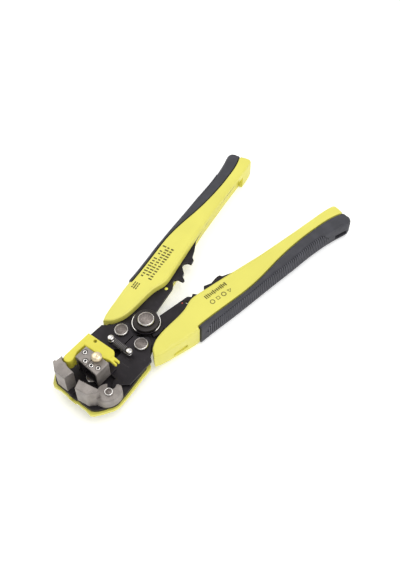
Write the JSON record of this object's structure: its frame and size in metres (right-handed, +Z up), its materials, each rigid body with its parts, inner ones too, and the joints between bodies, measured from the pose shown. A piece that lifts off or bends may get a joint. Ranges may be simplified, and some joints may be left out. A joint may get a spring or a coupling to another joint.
{
  "type": "wire stripper",
  "caption": "Self-adjusting wire stripper and crimper with sprung levers, a gripping jaw pair, a sliding cutter with a brass depth screw, and a wire stop.",
  "frame": {"origin": "on the main pivot's axis, at the level of the table that the open tool lies on, which the pivot's lower head and both handles touch", "axes": "+Y from the pivot towards the jaws, with the handles on -Y; +Z up, from the tool's underside to its upper face; +X to the right of someone who holds the handles and looks towards the jaws, the side of the fixed jaw"},
  "size_m": [0.0956, 0.2013, 0.0311],
  "materials": {
    "yellow_plastic": "satin moulded, lemon yellow",
    "dark_rubber": "matt, ribbed",
    "black_steel": "blackened steel, satin",
    "sintered_steel": "sintered, fine grain",
    "bright_steel": "turned, bright edge",
    "brass": "turned"
  },
  "bodies": {
    "right_handle": {"right_handle_cover": "yellow_plastic", "right_grip": "dark_rubber", "right_lever": "black_steel", "main_rivet": "bright_steel", "upper_disc": "black_steel", "lower_disc": "black_steel", "pivot_washer": "bright_steel"},
    "left_handle": {"left_handle_cover": "yellow_plastic", "left_grip": "dark_rubber", "left_lever": "black_steel"},
    "right_half": {"right_upper_plate": "black_steel", "right_base_plate": "black_steel", "right_lower_plate": "black_steel", "right_guard": "yellow_plastic", "right_rivet": "bright_steel", "right_spring_pin": "bright_steel", "fixed_jaw": "sintered_steel"},
    "left_half": {"left_upper_plate": "black_steel", "left_base_plate": "black_steel", "left_lower_plate": "black_steel", "left_guard": "yellow_plastic", "left_rivet": "bright_steel", "left_spring_pin": "bright_steel", "head_pin": "bright_steel", "jaw_bolt": "bright_steel", "tension_spring": "black_steel"},
    "centre": {"centre_link": "black_steel"},
    "cutter": {"blade_carriage": "black_steel", "right_block": "sintered_steel", "left_block": "sintered_steel", "right_rear_screw": "bright_steel", "right_front_screw": "bright_steel", "left_inner_screw": "bright_steel", "left_outer_screw": "bright_steel"},
    "right_cutter_blade": {"right_blade": "black_steel"},
    "left_cutter_blade": {"left_blade": "black_steel"},
    "gripping_jaw": {"swing_jaw": "sintered_steel"},
    "length_stop": {"wire_stop": "yellow_plastic"},
    "depth_screw": {"depth_knob": "brass"}
  },
  "joints": [
    {"name": "squeeze", "type": "hinge", "parent": "right_handle", "child": "left_handle", "pos_m": [0, 0, 0], "axis": [0, 0, 1], "range_deg": [0, 19], "stiffness_Nm_per_rad": 1.2, "springref_deg": -17.19},
    {"name": "right_half_turn", "type": "hinge", "parent": "right_handle", "child": "right_half", "pos_m": [0.0073, 0.0125, 0], "axis": [0, 0, 1], "range_deg": [0, 13.3]},
    {"name": "left_half_turn", "type": "hinge", "parent": "left_handle", "child": "left_half", "pos_m": [-0.0073, 0.0125, 0], "axis": [0, 0, -1], "range_deg": [0, 13.3], "deforming": ["tension_spring"]},
    {"name": "centre_turn", "type": "hinge", "parent": "right_handle", "child": "centre", "pos_m": [0, 0, 0], "axis": [0, 0, 1], "range_deg": [0, 9.6]},
    {"name": "cutter_slide", "type": "slide", "parent": "centre", "child": "cutter", "axis": [0, -1, 0], "range_m": [0, 0.0061]},
    {"name": "right_blade_slide", "type": "slide", "parent": "cutter", "child": "right_cutter_blade", "axis": [-1, 0, 0], "range_m": [0, 0.0016]},
    {"name": "left_blade_slide", "type": "slide", "parent": "cutter", "child": "left_cutter_blade", "axis": [1, 0, 0], "range_m": [0, 0.0016]},
    {"name": "gripping_jaw_turn", "type": "hinge", "parent": "left_half", "child": "gripping_jaw", "pos_m": [-0.0158, 0.0466, 0], "axis": [0, 0, -1], "range_deg": [0, 19.2]},
    {"name": "wire_stop_slide", "type": "slide", "parent": "cutter", "child": "length_stop", "axis": [0, -1, 0], "range_m": [0, 0.003]},
    {"name": "depth_screw_turn", "type": "hinge", "parent": "cutter", "child": "depth_screw", "pos_m": [-0.00185, 0.0393, 0], "axis": [0, 0, 1], "range_deg": [-180, 180]}
  ],
  "couplings": [
    {"joint": "right_half_turn", "follows": "squeeze", "ratio": 0.693},
    {"joint": "left_half_turn", "follows": "squeeze", "ratio": 0.693},
    {"joint": "centre_turn", "follows": "squeeze", "ratio": 0.5},
    {"joint": "cutter_slide", "follows": "squeeze", "m_per_rad": 0.018093},
    {"joint": "right_blade_slide", "follows": "squeeze", "m_per_rad": 0.004523},
    {"joint": "left_blade_slide", "follows": "squeeze", "m_per_rad": 0.004523},
    {"joint": "gripping_jaw_turn", "follows": "squeeze", "ratio": 1}
  ]
}
